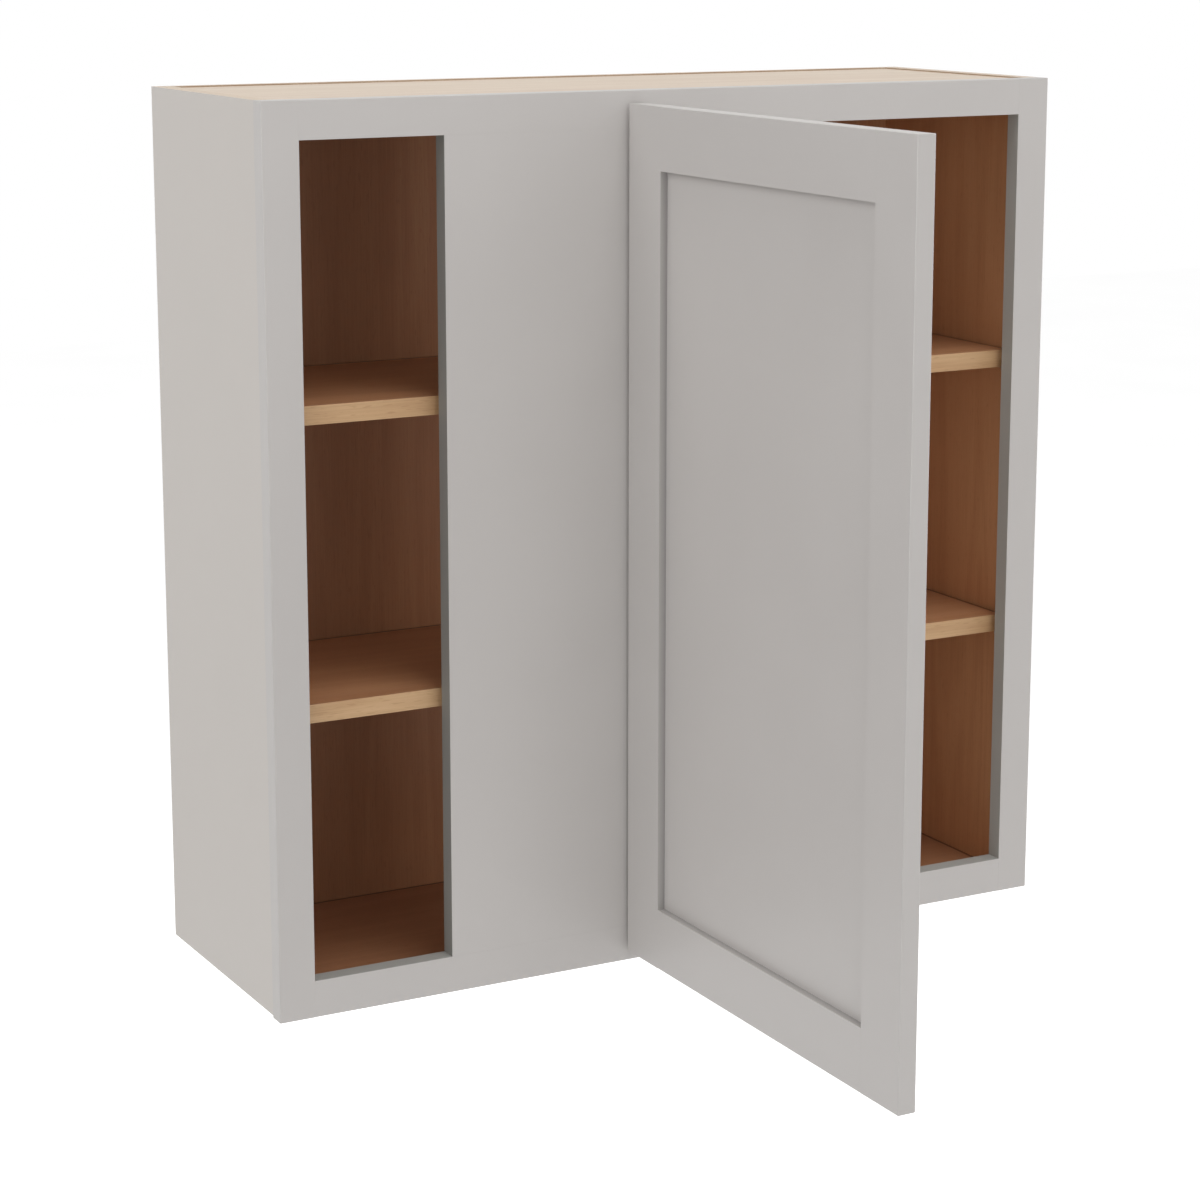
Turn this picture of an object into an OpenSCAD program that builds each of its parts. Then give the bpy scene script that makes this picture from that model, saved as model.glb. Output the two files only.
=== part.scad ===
// Blind corner wall cabinet with a face frame, two loose shelves and one framed door on concealed hinges.
// Millimetres. The origin is on the wall, at the middle of the case's lower back edge.
// The front faces -Y and +Z is up. The door stands open at its rest angle.

/* [Cabinet] */
// Overall width across the face frame
cabinet_w = 914.4; // [820:0.1:1100]
// Overall height of the face frame
cabinet_h = 914.4; // [840:0.1:1067]
// Depth of the case, from the wall to the back of the face frame
case_depth = 278.15; // [240:0.05:400]
// Thickness of each side panel
side_t = 19.05; // [15:0.05:22]
// Thickness of the top panel
top_t = 12.7; // [9:0.1:19]
// Thickness of the bottom panel
bottom_t = 12.7; // [9:0.1:19]
// Thickness of the back panel
back_t = 12.7; // [6:0.1:16]
// How far the top panel lies below the upper edges of the sides
top_drop = 1.4; // [0:0.1:10]
// How far the bottom panel lies above the lower edges of the sides
bottom_lift = 1.2; // [0:0.1:10]
// Depth of the dados and of the tongues in them
dado_depth = 6; // [4:0.5:9]
// Width of the rabbet in each side panel that takes the back panel
back_rabbet = 9; // [5:0.5:12]

/* [Face frame] */
// Thickness of the face frame
frame_t = 19.05; // [16:0.05:25]
// How far the face frame reaches below the case
frame_drop = 2.6; // [0:0.1:8]
// Height of the top and bottom rails
rail_h = 38.1; // [32:0.1:60]
// Width of the left and right stiles
side_stile_w = 38.1; // [32:0.1:60]
// Width of the open blind bay
blind_bay_w = 152.4; // [110:0.1:200]
// Width of the wide stile between the blind bay and the door opening
blind_stile_w = 228.6; // [160:0.1:260]
// Radius of the dowels in the frame's joints
dowel_r = 4; // [3:0.5:5]
// Length of the dowels
dowel_l = 36; // [24:1:44]
// Distance between the two dowels of a corner joint
dowel_pitch = 18; // [13:1:20]
// Distance between neighbouring dowels at each end of the wide stile
wide_dowel_pitch = 70; // [40:1:75]

/* [Shelves] */
// Thickness of each shelf
shelf_t = 19.05; // [15:0.05:22]
// Height of the lower shelf's upper face above the case's lower edge
lower_shelf_z = 312.4; // [250:0.1:360]
// Height of the upper shelf's upper face above the case's lower edge
upper_shelf_z = 613.1; // [560:0.1:660]
// Distance from the back of the face frame to the shelves' front edge
shelf_setback = 10.95; // [4:0.05:15]
// Thickness of the band on the shelves' front edge
band_t = 1; // [0.5:0.1:3]
// Gap between a shelf's end and the side panel
shelf_end_gap = 1.6; // [0.5:0.1:3]
// Gap between a shelf's back edge and the back panel
shelf_back_gap = 1; // [0.5:0.1:5]

/* [Shelf pins] */
// Radius of the pin holes
pin_hole_r = 2.5; // [2.4:0.05:3.5]
// Depth of the pin holes
pin_hole_depth = 11; // [9:0.5:13]
// Distance between neighbouring pin holes in a row
pin_pitch = 32; // [25:1:40]
// How many spare holes are above and below the hole in use
spare_holes = 2; // [0:1:2]
// Distance from the back of the face frame to the front row of holes
front_row = 21; // [17:0.5:60]
// Distance from the wall to the back row of holes
back_row = 67; // [40:0.5:110]
// Radius of the collar that seats a pin on the side panel
collar_r = 4.5; // [4:0.1:6]
// Thickness of the collar
collar_t = 1.4; // [1:0.1:1.5]
// Length of the flat spade under the shelf
spade_l = 6; // [4:0.5:20]
// Width of the spade
spade_w = 9; // [7:0.5:14]
// Thickness of the spade
spade_t = 1.2; // [1:0.1:3]
// Gap between the spade and the shelf that rests on it
seat_gap = 0.2; // [0.1:0.05:0.5]

/* [Door] */
// Thickness of the door
door_t = 19.05; // [18:0.05:22]
// How far the door covers the frame at each side of its opening
overlay = 25.4; // [19:0.1:30]
// Height of the frame that shows above and below the door
door_reveal = 12.7; // [5:0.1:30]
// Width of the door's stiles and rails
door_frame_w = 63.5; // [56:0.5:90]
// Depth of the recess in front of the door's panel
recess_depth = 8; // [5:0.1:9]
// Thickness of the door's panel
door_panel_t = 6.35; // [4:0.05:7]
// Depth of the grooves that hold the panel
groove_depth = 10; // [6:0.5:12]
// Gap left for the panel at the bottom of each groove
groove_gap = 0.6; // [0.2:0.1:2]
// Gap on each face of a tongue or panel in its groove
groove_clearance = 0.05; // [0.05:0.01:0.2]
// Gap between the closed door and the face frame
door_gap = 3; // [3:0.1:4]
// Angle at which the door stands open
rest_angle = 90; // [0:1:100]
// Radius of the two bumper pads
bumper_r = 5; // [4:0.5:8]
// Distance from the bumper pads' centres to the door's edges
bumper_inset = 14; // [10:0.5:20]
// Gap between the pads and the face frame when the door is closed
bumper_gap = 0.4; // [0.3:0.1:1]

/* [Hinges] */
// Distance from the door's upper or lower end to the middle of a hinge
hinge_inset = 88.9; // [70:0.1:160]
// Distance from the door's hinge edge to the pivot
pivot_edge = 7.7; // [7:0.1:7.9]
// Distance from the door's outer face to the pivot
pivot_face = 8.5; // [8.3:0.1:9.5]
// Radius of the hinge cup
cup_r = 17.5; // [17:0.1:18]
// Distance from the door's hinge edge to the rim of the cup's bore
cup_edge = 3; // [2.5:0.1:3.5]
// Gap all round between the cup and its bore
cup_clearance = 0.05; // [0.03:0.01:0.2]
// Wall thickness of the cup
cup_wall = 0.8; // [0.6:0.1:1]
// Gap between the hinge arm's barrel and the bottom of the cup
barrel_gap = 0.4; // [0.3:0.1:0.6]
// Thickness of the cup's flange
flange_t = 1.2; // [1:0.1:1.5]
// Radius of the cup's flange
flange_r = 19.3; // [18.8:0.1:19.6]
// Distance between the two screws of a cup
cup_screw_pitch = 45; // [44:0.5:52]
// Distance from the cup's centre to the line of its screws, away from the hinge edge
cup_screw_offset = 9.5; // [8:0.1:11]
// Radius of the flange's ears
ear_r = 6; // [5:0.1:7]
// Radius of the pivot pin
pivot_pin_r = 1.5; // [1.3:0.05:1.6]
// Half the length of the pivot pin
pivot_pin_half = 9.6; // [9:0.1:9.8]
// Running gap between the pin and the hinge arm's barrel
pivot_running_gap = 0.05; // [0.03:0.01:0.1]
// Gap between the pin and the cheeks that hold it
pivot_press_gap = 0.02; // [0.01:0.01:0.03]
// Outer radius of the hinge arm's barrel
barrel_r = 2.4; // [2.3:0.05:2.5]
// Half the width of the hinge arm
arm_half_w = 5.5; // [4.5:0.1:5.6]
// How far the arm's bar lies in front of the pivot, towards the bottom of the cup
bar_set = 0.5; // [0.3:0.05:0.6]
// Gap between the hinge arm and the cheeks
cheek_gap = 0.5; // [0.4:0.05:0.6]
// Thickness of the hinge arm's plate
arm_t = 1.8; // [1.5:0.1:1.9]
// Half the height of the hinge arm's base plate
base_half_h = 26; // [24:0.5:30]
// Distance between the two screws of a base plate
base_screw_pitch = 36; // [30:0.5:38]

/* [Screws] */
// Shank radius of the screws that hold the hinge arms
base_screw_r = 1.9; // [1.6:0.05:2.1]
// Length of those screws under the head
base_screw_l = 18; // [12:0.5:25]
// Shank radius of the screws that hold the cups
cup_screw_r = 1.6; // [1.4:0.05:1.9]
// Length of those screws under the head
cup_screw_l = 13; // [10:0.5:15]
// Radius of the screws' heads
screw_head_r = 3.5; // [3.2:0.1:4]
// Height of the screws' heads
screw_head_h = 1.6; // [1.4:0.1:2]
// Gap all round a screw's shank in wood and in the plates
screw_gap = 0.05; // [0.03:0.01:0.2]

/* [Wall fixing] */
// Distance between the left and right wall screw holes
wall_hole_pitch = 609.6; // [400:0.1:700]
// Distance from the case's upper and lower edges to the wall screw holes
wall_hole_inset = 36.8; // [34:0.1:60]
// Radius of the wall screw holes
wall_hole_r = 2.5; // [2:0.1:4]

/* [Hidden] */
$fn = 64;

// A cut reaches this far past the face that it opens
cut_past = 1;

// Case
half_w = cabinet_w / 2;
inner_half_w = half_w - side_t;
case_h = cabinet_h - frame_drop;
top_z = case_h - top_drop;
ceiling_z = top_z - top_t;
floor_z = bottom_lift + bottom_t;
frame_back_y = -case_depth;
frame_front_y = frame_back_y - frame_t;
frame_mid_y = frame_back_y - frame_t / 2;
front_row_y = frame_back_y + front_row;

// Face frame
frame_low_z = -frame_drop;
lower_rail_z = frame_low_z + rail_h;
upper_rail_z = case_h - rail_h;
bay_left_x = side_stile_w - half_w;
bay_right_x = bay_left_x + blind_bay_w;
hinge_edge_x = bay_right_x + blind_stile_w;
opening_right_x = half_w - side_stile_w;
blind_mid_x = (bay_right_x + hinge_edge_x) / 2;
dowel_hole_r = dowel_r + 0.05;
dowel_hole_l = dowel_l + 2;

// Shelves, and the peg that carries each of their corners
shelf_end_x = inner_half_w - shelf_end_gap;
shelf_front_y = frame_back_y + shelf_setback;
shelf_back_y = -back_t - shelf_back_gap;
peg_r = pin_hole_r - 0.05;
peg_l = pin_hole_depth - 1;
peg_below_shelf = seat_gap + collar_r;
lower_peg_z = lower_shelf_z - shelf_t - peg_below_shelf;
upper_peg_z = upper_shelf_z - shelf_t - peg_below_shelf;

// Door, in its closed place
door_left_x = hinge_edge_x - overlay;
door_right_x = opening_right_x + overlay;
door_low_z = frame_low_z + door_reveal;
door_high_z = case_h - door_reveal;
door_back_y = frame_front_y - door_gap;
door_face_y = door_back_y - door_t;
panel_left_x = door_left_x + door_frame_w;
panel_right_x = door_right_x - door_frame_w;
panel_low_z = door_low_z + door_frame_w;
panel_high_z = door_high_z - door_frame_w;
groove_front_y = door_face_y + recess_depth;
groove_back_y = groove_front_y + door_panel_t + 2 * groove_clearance;
tongue_l = groove_depth - groove_gap;

// Hinges, in the door's closed place
pivot_x = door_left_x + pivot_edge;
pivot_y = door_face_y + pivot_face;
lower_hinge_z = door_low_z + hinge_inset;
upper_hinge_z = door_high_z - hinge_inset;
cup_x = door_left_x + cup_edge + cup_r;
cup_floor_y = pivot_y - barrel_r - barrel_gap;
cup_bore_y = cup_floor_y - cup_wall - cup_clearance;
cup_body_r = cup_r - cup_clearance;
cup_inner_r = cup_body_r - cup_wall;
cheek_z = arm_half_w + cheek_gap;
cheek_reach = 5.5;
cheek_rise = 4.5;
bar_back_y = pivot_y - bar_set;
bar_front_y = bar_back_y - arm_t;
arm_bend_r = arm_t;
base_edge_gap = 1;
base_screw_y = frame_mid_y;
cup_screw_x = cup_x + cup_screw_offset;
screw_crown = 0.5;

function hinge_heights() = [lower_hinge_z, upper_hinge_z];
function hole_heights(peg_z) = [for (i = [-spare_holes : spare_holes]) peg_z + i * pin_pitch];

// A board given by its lowest and highest corners
module board(low, high) {
    translate(low) cube(high - low);
}

// A round bore or rod along X, Y or Z, from a start point
module rod_x(start, r, l) {
    translate(start) rotate([0, 90, 0]) cylinder(r = r, h = l);
}

module rod_y(start, r, l) {
    translate(start) rotate([-90, 0, 0]) cylinder(r = r, h = l);
}

module rod_z(start, r, l) {
    translate(start) cylinder(r = r, h = l);
}

// Turns the closed door about its pivot to the angle at which it stands open
module opened() {
    translate([pivot_x, pivot_y, 0]) rotate([0, 0, -rest_angle]) translate([-pivot_x, -pivot_y, 0]) children();
}

// A screw with a low crowned head. It points along -Z and the underside of the head is at z = 0
module wood_screw(r, l) {
    tip = 2 * r;
    rotate_extrude() polygon([
        [0, -l], [0.3, -l], [r, tip - l], [r, 0], [screw_head_r, 0], [screw_head_r, screw_head_h - screw_crown],
        [screw_head_r - 2 * screw_crown, screw_head_h], [0, screw_head_h]
    ]);
}

// The right side panel, with the rabbet, the two dados and the rows of pin holes in its inner face
module side_panel() {
    difference() {
        board([inner_half_w, frame_back_y, 0], [half_w, 0, case_h]);
        board(
            [inner_half_w - cut_past, -back_t, -cut_past],
            [inner_half_w + back_rabbet, cut_past, case_h + cut_past]
        );
        board(
            [inner_half_w - cut_past, frame_back_y - cut_past, ceiling_z],
            [inner_half_w + dado_depth, -back_t + cut_past, ceiling_z + top_t / 2]
        );
        board(
            [inner_half_w - cut_past, frame_back_y - cut_past, floor_z - bottom_t / 2],
            [inner_half_w + dado_depth, -back_t + cut_past, floor_z]
        );
        for (peg_z = [lower_peg_z, upper_peg_z], z = hole_heights(peg_z), y = [front_row_y, -back_row])
            rod_x([inner_half_w - cut_past, y, z], pin_hole_r, pin_hole_depth + cut_past);
    }
}

module left_side_panel() {
    color("#c3beb7") mirror([1, 0, 0]) side_panel();
}

module right_side_panel() {
    color("#c3beb7") side_panel();
}

// The top panel's tongues are its lower half, and the bottom panel's are its upper half
module top_panel() {
    color("#dbcdbb") {
        board([-inner_half_w, frame_back_y, ceiling_z], [inner_half_w, -back_t, top_z]);
        board(
            [-inner_half_w - dado_depth, frame_back_y, ceiling_z],
            [inner_half_w + dado_depth, -back_t, ceiling_z + top_t / 2]
        );
    }
}

module bottom_panel() {
    color("#b98a66") {
        board([-inner_half_w, frame_back_y, bottom_lift], [inner_half_w, -back_t, floor_z]);
        board(
            [-inner_half_w - dado_depth, frame_back_y, floor_z - bottom_t / 2],
            [inner_half_w + dado_depth, -back_t, floor_z]
        );
    }
}

module back_panel() {
    color("#a5795a") difference() {
        board([-inner_half_w - back_rabbet, -back_t, 0], [inner_half_w + back_rabbet, 0, case_h]);
        for (x = [-wall_hole_pitch / 2, wall_hole_pitch / 2], z = [wall_hole_inset, case_h - wall_hole_inset])
            rod_y([x, -back_t - cut_past, z], wall_hole_r, back_t + 2 * cut_past);
    }
}

// Everything round that is in the frame's joints, drawn with the dowels' size or with that of their holes
module dowel_set(r, l) {
    for (x = [bay_left_x, opening_right_x], rail_mid_z = [frame_low_z + rail_h / 2, case_h - rail_h / 2])
        for (side = [-1, 1])
            rod_x([x - l / 2, frame_mid_y, rail_mid_z + side * dowel_pitch / 2], r, l);
    for (z = [lower_rail_z, upper_rail_z], place = [-1, 0, 1])
        rod_z([blind_mid_x + place * wide_dowel_pitch, frame_mid_y, z - l / 2], r, l);
}

// One member of the face frame, bored for the dowels
module frame_member(x0, x1, z0, z1) {
    color("#bdb9b4") difference() {
        board([x0, frame_front_y, z0], [x1, frame_back_y, z1]);
        dowel_set(dowel_hole_r, dowel_hole_l);
        children();
    }
}

module left_stile() {
    frame_member(-half_w, bay_left_x, frame_low_z, case_h);
}

module blind_stile() {
    frame_member(bay_right_x, hinge_edge_x, lower_rail_z, upper_rail_z)
        hinge_arm_screw_places() cylinder(r = base_screw_r + screw_gap, h = base_screw_l + arm_t + cut_past);
}

module right_stile() {
    frame_member(opening_right_x, half_w, frame_low_z, case_h);
}

module top_rail() {
    frame_member(bay_left_x, opening_right_x, upper_rail_z, case_h);
}

module bottom_rail() {
    frame_member(bay_left_x, opening_right_x, frame_low_z, lower_rail_z);
}

module frame_dowels() {
    color("#c9a77c") dowel_set(dowel_r, dowel_l);
}

// A shelf pin of the right side panel: peg, collar against the panel, and the spade under the shelf
module shelf_pin() {
    rod_x([0, 0, 0], peg_r, peg_l);
    rod_x([-collar_t, 0, 0], collar_r, collar_t);
    translate([-spade_l, -spade_w / 2, collar_r - spade_t]) cube([spade_l, spade_w, spade_t]);
    translate([-spade_l, 0, collar_r - spade_t]) cylinder(r = spade_w / 2, h = spade_t);
}

module shelf_pins(peg_z) {
    color("#b9bcc0") for (side = [0, 1], y = [front_row_y, -back_row])
        mirror([side, 0, 0]) translate([inner_half_w, y, peg_z]) shelf_pin();
}

module lower_shelf_pins() {
    shelf_pins(lower_peg_z);
}

module upper_shelf_pins() {
    shelf_pins(upper_peg_z);
}

// A shelf's board lies behind its front band
module shelf_board(z) {
    color("#b98a66") board(
        [-shelf_end_x, shelf_front_y + band_t, z - shelf_t],
        [shelf_end_x, shelf_back_y, z]
    );
}

module shelf_band(z) {
    color("#ba9976") board([-shelf_end_x, shelf_front_y, z - shelf_t], [shelf_end_x, shelf_front_y + band_t, z]);
}

module lower_shelf_board() {
    shelf_board(lower_shelf_z);
}

module lower_shelf_band() {
    shelf_band(lower_shelf_z);
}

module upper_shelf_board() {
    shelf_board(upper_shelf_z);
}

module upper_shelf_band() {
    shelf_band(upper_shelf_z);
}

// The groove that runs round the inside of the door's frame. A stile's groove is open at both ends
module stile_groove(x0, x1) {
    board([x0, groove_front_y, door_low_z - cut_past], [x1, groove_back_y, door_high_z + cut_past]);
}

module door_hinge_stile() {
    color("#b1aea9") opened() difference() {
        board([door_left_x, door_face_y, door_low_z], [panel_left_x, door_back_y, door_high_z]);
        stile_groove(panel_left_x - groove_depth, panel_left_x + cut_past);
        for (z = hinge_heights()) {
            rod_y([cup_x, cup_bore_y, z], cup_r, door_back_y - cup_bore_y + cut_past);
        }
        hinge_cup_screw_places() cylinder(r = cup_screw_r + screw_gap, h = cup_screw_l + flange_t + cut_past);
    }
}

module door_free_stile() {
    color("#b1aea9") opened() difference() {
        board([panel_right_x, door_face_y, door_low_z], [door_right_x, door_back_y, door_high_z]);
        stile_groove(panel_right_x - cut_past, panel_right_x + groove_depth);
    }
}

// A rail of the door between z0 and z1, with its tongues in the stiles and its groove on the panel's side
module door_rail(z0, z1, groove_z0, groove_z1) {
    tongue_z0 = groove_z0 < z0 ? groove_z1 : z0;
    tongue_z1 = groove_z1 > z1 ? groove_z0 : z1;
    color("#b1aea9") opened() difference() {
        union() {
            board([panel_left_x, door_face_y, z0], [panel_right_x, door_back_y, z1]);
            board(
                [panel_left_x - tongue_l, groove_front_y + groove_clearance, tongue_z0],
                [panel_right_x + tongue_l, groove_back_y - groove_clearance, tongue_z1]
            );
        }
        board([panel_left_x - groove_depth, groove_front_y, groove_z0], [panel_right_x + groove_depth, groove_back_y, groove_z1]);
    }
}

module door_top_rail() {
    door_rail(panel_high_z, door_high_z, panel_high_z - cut_past, panel_high_z + groove_depth);
}

module door_bottom_rail() {
    door_rail(door_low_z, panel_low_z, panel_low_z - groove_depth, panel_low_z + cut_past);
}

module door_panel() {
    color("#aeaba6") opened() board(
        [panel_left_x - tongue_l, groove_front_y + groove_clearance, panel_low_z - tongue_l],
        [panel_right_x + tongue_l, groove_back_y - groove_clearance, panel_high_z + tongue_l]
    );
}

module door_bumpers() {
    color("#e4e4e0") opened() for (z = [door_low_z + bumper_inset, door_high_z - bumper_inset])
        rod_y([door_right_x - bumper_inset, door_back_y, z], bumper_r, door_gap - bumper_gap);
}

// What the arm's outer corner loses where its plate is bent round: the corner block less the round of the bend
module bend_waste(arm_x) {
    bend_x = arm_x - arm_bend_r;
    bend_y = bar_front_y + arm_bend_r;
    difference() {
        board(
            [bend_x, bar_front_y - cut_past, -arm_half_w - cut_past],
            [arm_x + cut_past, bend_y, arm_half_w + cut_past]
        );
        rod_z([bend_x, bend_y, -arm_half_w - 2 * cut_past], arm_bend_r, 2 * arm_half_w + 4 * cut_past);
    }
}

// The hinge arm stays on the cabinet. Its base plate lies on the edge of the wide stile. From there the arm
// reaches forward into the cup, bends back over the stile and ends in the barrel round the pivot pin.
module hinge_arm(z) {
    arm_x = hinge_edge_x + arm_t;
    color("#c8c9cb") translate([0, 0, z]) difference() {
        union() {
            board(
                [hinge_edge_x, frame_front_y + base_edge_gap, -base_half_h],
                [arm_x, frame_back_y - base_edge_gap, base_half_h]
            );
            board(
                [hinge_edge_x, bar_front_y, -arm_half_w],
                [arm_x, frame_front_y + 2 * base_edge_gap, arm_half_w]
            );
            board([pivot_x, bar_front_y, -arm_half_w], [arm_x, bar_back_y, arm_half_w]);
            rod_z([pivot_x, pivot_y, -arm_half_w], barrel_r, 2 * arm_half_w);
        }
        bend_waste(arm_x);
        rod_z([pivot_x, pivot_y, -arm_half_w - cut_past], pivot_pin_r + pivot_running_gap, 2 * (arm_half_w + cut_past));
        for (side = [-1, 1])
            rod_x([hinge_edge_x - cut_past, base_screw_y, side * base_screw_pitch / 2], base_screw_r + screw_gap, arm_t + 2 * cut_past);
    }
}

module lower_hinge_arm() {
    hinge_arm(lower_hinge_z);
}

module upper_hinge_arm() {
    hinge_arm(upper_hinge_z);
}

// Puts its child where each screw of a base plate goes, with +Z pointing into the stile
module hinge_arm_screw_places() {
    for (z = hinge_heights(), side = [-1, 1])
        translate([hinge_edge_x + arm_t, base_screw_y, z + side * base_screw_pitch / 2]) rotate([0, -90, 0]) children();
}

module hinge_arm_screws() {
    color("#d5d6d8") hinge_arm_screw_places() mirror([0, 0, 1]) wood_screw(base_screw_r, base_screw_l);
}

// The same for the screws of the cups, with +Z pointing into the closed door
module hinge_cup_screw_places() {
    for (z = hinge_heights(), side = [-1, 1])
        translate([cup_screw_x, door_back_y + flange_t, z + side * cup_screw_pitch / 2]) rotate([90, 0, 0]) children();
}

module hinge_cup_screws() {
    color("#d5d6d8") opened() hinge_cup_screw_places() mirror([0, 0, 1]) wood_screw(cup_screw_r, cup_screw_l);
}

// The cup's flange on the door's back: two ears and a round rim, with a gap in it where the arm swings past
module flange_outline() {
    difference() {
        circle(r = flange_r);
        translate([-flange_r - cut_past, -cheek_z]) square([flange_r + cut_past, 2 * cheek_z]);
    }
    translate([cup_screw_offset - ear_r, -cup_screw_pitch / 2]) square([2 * ear_r, cup_screw_pitch]);
    for (side = [-1, 1])
        translate([cup_screw_offset, side * cup_screw_pitch / 2]) circle(r = ear_r);
}

// The hinge cup moves with the door. Two cheeks inside it hold the ends of the pivot pin.
module hinge_cup(z) {
    cup_depth = door_back_y - cup_floor_y;
    color("#c8c9cb") opened() difference() {
        union() {
            difference() {
                union() {
                    rod_y([cup_x, cup_floor_y - cup_wall, z], cup_body_r, cup_depth + cup_wall);
                    translate([cup_x, door_back_y + flange_t, z]) rotate([90, 0, 0])
                        linear_extrude(height = flange_t) flange_outline();
                }
                rod_y([cup_x, cup_floor_y, z], cup_inner_r, cup_depth + flange_t + cut_past);
            }
            intersection() {
                rod_y([cup_x, cup_floor_y - cup_wall / 2, z], cup_body_r - cup_wall / 2, cup_depth);
                for (side = [0, 1])
                    translate([0, 0, z]) mirror([0, 0, side]) board(
                        [door_left_x, cup_floor_y - cup_wall / 2, cheek_z],
                        [pivot_x + cheek_reach, pivot_y + cheek_rise, cup_r]
                    );
            }
        }
        rod_z([pivot_x, pivot_y, z - pivot_pin_half], pivot_pin_r + pivot_press_gap, 2 * pivot_pin_half);
        for (side = [-1, 1])
            rod_y(
                [cup_screw_x, door_back_y - cut_past, z + side * cup_screw_pitch / 2],
                cup_screw_r + screw_gap, flange_t + 2 * cut_past
            );
    }
}

module lower_hinge_cup() {
    hinge_cup(lower_hinge_z);
}

module upper_hinge_cup() {
    hinge_cup(upper_hinge_z);
}

module hinge_pin(z) {
    color("#d5d6d8") opened() rod_z([pivot_x, pivot_y, z - pivot_pin_half], pivot_pin_r, 2 * pivot_pin_half);
}

module lower_hinge_pin() {
    hinge_pin(lower_hinge_z);
}

module upper_hinge_pin() {
    hinge_pin(upper_hinge_z);
}

left_side_panel();
right_side_panel();
top_panel();
bottom_panel();
back_panel();
left_stile();
blind_stile();
right_stile();
top_rail();
bottom_rail();
frame_dowels();
lower_shelf_pins();
upper_shelf_pins();
lower_shelf_board();
lower_shelf_band();
upper_shelf_board();
upper_shelf_band();
door_hinge_stile();
door_free_stile();
door_top_rail();
door_bottom_rail();
door_panel();
door_bumpers();
lower_hinge_arm();
upper_hinge_arm();
hinge_arm_screws();
lower_hinge_cup();
upper_hinge_cup();
lower_hinge_pin();
upper_hinge_pin();
hinge_cup_screws();
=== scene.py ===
from math import pi, radians

import bmesh
import bpy
import numpy as np
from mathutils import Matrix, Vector


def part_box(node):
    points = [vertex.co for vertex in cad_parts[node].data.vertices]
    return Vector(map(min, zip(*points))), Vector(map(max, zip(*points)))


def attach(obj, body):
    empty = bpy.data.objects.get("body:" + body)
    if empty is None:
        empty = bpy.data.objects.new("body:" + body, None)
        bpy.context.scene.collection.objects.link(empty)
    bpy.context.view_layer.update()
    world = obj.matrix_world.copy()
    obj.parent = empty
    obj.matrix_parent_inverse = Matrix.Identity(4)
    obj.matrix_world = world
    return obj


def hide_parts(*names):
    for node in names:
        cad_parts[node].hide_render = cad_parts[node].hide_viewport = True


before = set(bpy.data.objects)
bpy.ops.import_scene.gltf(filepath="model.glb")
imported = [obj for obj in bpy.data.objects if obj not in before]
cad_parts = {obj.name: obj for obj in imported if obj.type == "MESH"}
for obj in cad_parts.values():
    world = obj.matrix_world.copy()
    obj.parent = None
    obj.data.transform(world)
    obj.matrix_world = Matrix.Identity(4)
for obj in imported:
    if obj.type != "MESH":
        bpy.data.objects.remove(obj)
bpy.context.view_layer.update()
mm = 0.001
print("frame loaded:", len(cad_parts), "nodes")


# Colour and node helpers

def linearColour(hexCode):
    # sRGB to linear: c / 12.92 up to 0.04045, ((c + 0.055) / 1.055) ** 2.4 above it
    code = hexCode.lstrip("#")
    srgb = np.array([int(code[i:i + 2], 16) for i in (0, 2, 4)]) / 255.0
    linear = np.where(srgb <= 0.04045, srgb / 12.92, ((srgb + 0.055) / 1.055) ** 2.4)
    return (*linear.tolist(), 1.0)


def addNode(tree, kind, links=None, stops=None, **settings):
    # One node with its settings. links gives each input a value or another node's output
    node = tree.nodes.new(kind)
    for name, value in settings.items():
        setattr(node, name, value)
    for key, value in (links or {}).items():
        if isinstance(value, bpy.types.NodeSocket):
            tree.links.new(value, node.inputs[key])
        else:
            node.inputs[key].default_value = value
    if stops:
        elements = node.color_ramp.elements
        while len(elements) < len(stops):
            elements.new(1.0)
        for element, (position, colour) in zip(elements, stops):
            element.position = position
            element.color = linearColour(colour)
    return node


def newMaterial(name):
    material = bpy.data.materials.new(name)
    material.use_nodes = True
    tree = material.node_tree
    tree.nodes.clear()
    return material, tree


def finishMaterial(tree, colour, roughness, bumpHeight, bumpMm, **values):
    # Ends a material: one Principled BSDF, with its bump bumpMm deep, and the output
    bump = addNode(tree, "ShaderNodeBump", {"Height": bumpHeight, "Distance": bumpMm * mm, "Strength": 1.0})
    links = {"Base Color": colour, "Roughness": roughness, "Normal": bump.outputs[0]}
    links.update({name.replace("_", " "): value for name, value in values.items()})
    shader = addNode(tree, "ShaderNodeBsdfPrincipled", links)
    addNode(tree, "ShaderNodeOutputMaterial", {"Surface": shader.outputs[0]})


def objectCoords(tree):
    return addNode(tree, "ShaderNodeTexCoord").outputs["Object"]


def numbers(tree, vector):
    # A vector's X, Y and Z
    return addNode(tree, "ShaderNodeSeparateXYZ", {0: vector}).outputs


def calculated(tree, operation, *values):
    return addNode(tree, "ShaderNodeMath", dict(enumerate(values)), operation=operation).outputs[0]


def spread(tree, value, low, high):
    # Maps 0..1 to low..high
    return addNode(tree, "ShaderNodeMapRange", {"Value": value, "To Min": low, "To Max": high}).outputs[0]


def cloudNoise(tree, coords, cellMm, detail):
    # Noise whose cells are cellMm wide
    return addNode(tree, "ShaderNodeTexNoise", {"Vector": coords, "Scale": 1 / (cellMm * mm),
                                                "Detail": detail}).outputs[0]


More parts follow.
